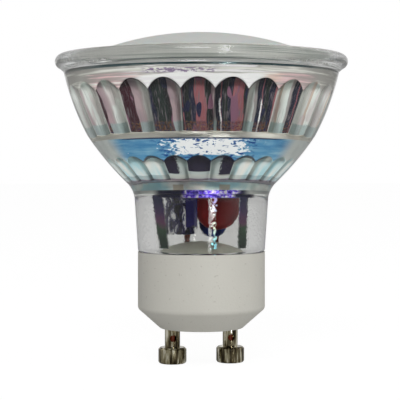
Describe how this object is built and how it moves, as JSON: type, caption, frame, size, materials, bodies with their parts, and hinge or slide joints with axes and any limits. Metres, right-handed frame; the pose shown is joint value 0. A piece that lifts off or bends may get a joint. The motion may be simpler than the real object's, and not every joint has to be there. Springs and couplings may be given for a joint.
{
  "type": "gu10 spotlight bulb",
  "caption": "Reflector spotlight bulb with a clear fluted pressed-glass cup, a low frosted dome, a white bevelled base and two round-headed twist-lock contact pins.",
  "frame": {"origin": "middle of the base's flat underside, halfway between the two contact pins", "axes": "+Z from the pins to the dome, along the lamp's axis; the two pins stand on the X axis"},
  "size_m": [0.05, 0.05, 0.0563],
  "materials": {
    "clear_glass": "polished",
    "frosted_dome": "frosted",
    "clear_silicone": "cured bead",
    "white_ceramic": "matt",
    "plated_brass": "polished, nickel plated",
    "white_board": "white solder mask on aluminium",
    "chip_window": "glossy",
    "solder": "bright",
    "driver_board": "pale solder mask",
    "black_sleeve": "shrunk sleeve",
    "red_coat": "dipped",
    "blue_coat": "dipped",
    "tinned_lead": "tinned",
    "moulded_package": "moulded",
    "ferrite": "sintered",
    "copper_winding": "enamelled copper",
    "resistor_coat": "lacquered",
    "chip_resistor": "glazed",
    "red_insulation": "silicone sleeve",
    "white_insulation": "silicone sleeve",
    "fill": "cast",
    "cement": "set"
  },
  "bodies": {
    "root": {"glass_body": "clear_glass", "front_lens": "frosted_dome", "lens_seal": "clear_silicone", "gu10_base": "white_ceramic", "contact_pin_left": "plated_brass", "contact_pin_right": "plated_brass", "led_board": "white_board", "led_chips": "chip_window", "led_board_solder": "solder", "driver_board": "driver_board", "driver_board_solder": "solder", "electrolytic_capacitor": "black_sleeve", "capacitor_leads": "tinned_lead", "film_capacitor": "red_coat", "film_capacitor_leads": "tinned_lead", "varistor": "blue_coat", "varistor_leads": "tinned_lead", "bridge_rectifier": "moulded_package", "driver_ic": "moulded_package", "choke_core": "ferrite", "choke_winding": "copper_winding", "fusible_resistor": "resistor_coat", "resistor_lead_near": "tinned_lead", "resistor_lead_far": "tinned_lead", "chip_resistors": "chip_resistor", "pin_wire_left": "red_insulation", "pin_wire_right": "red_insulation", "led_wire_minus": "white_insulation", "led_wire_plus": "white_insulation", "potting": "fill", "base_cement": "cement"}
  },
  "joints": []
}
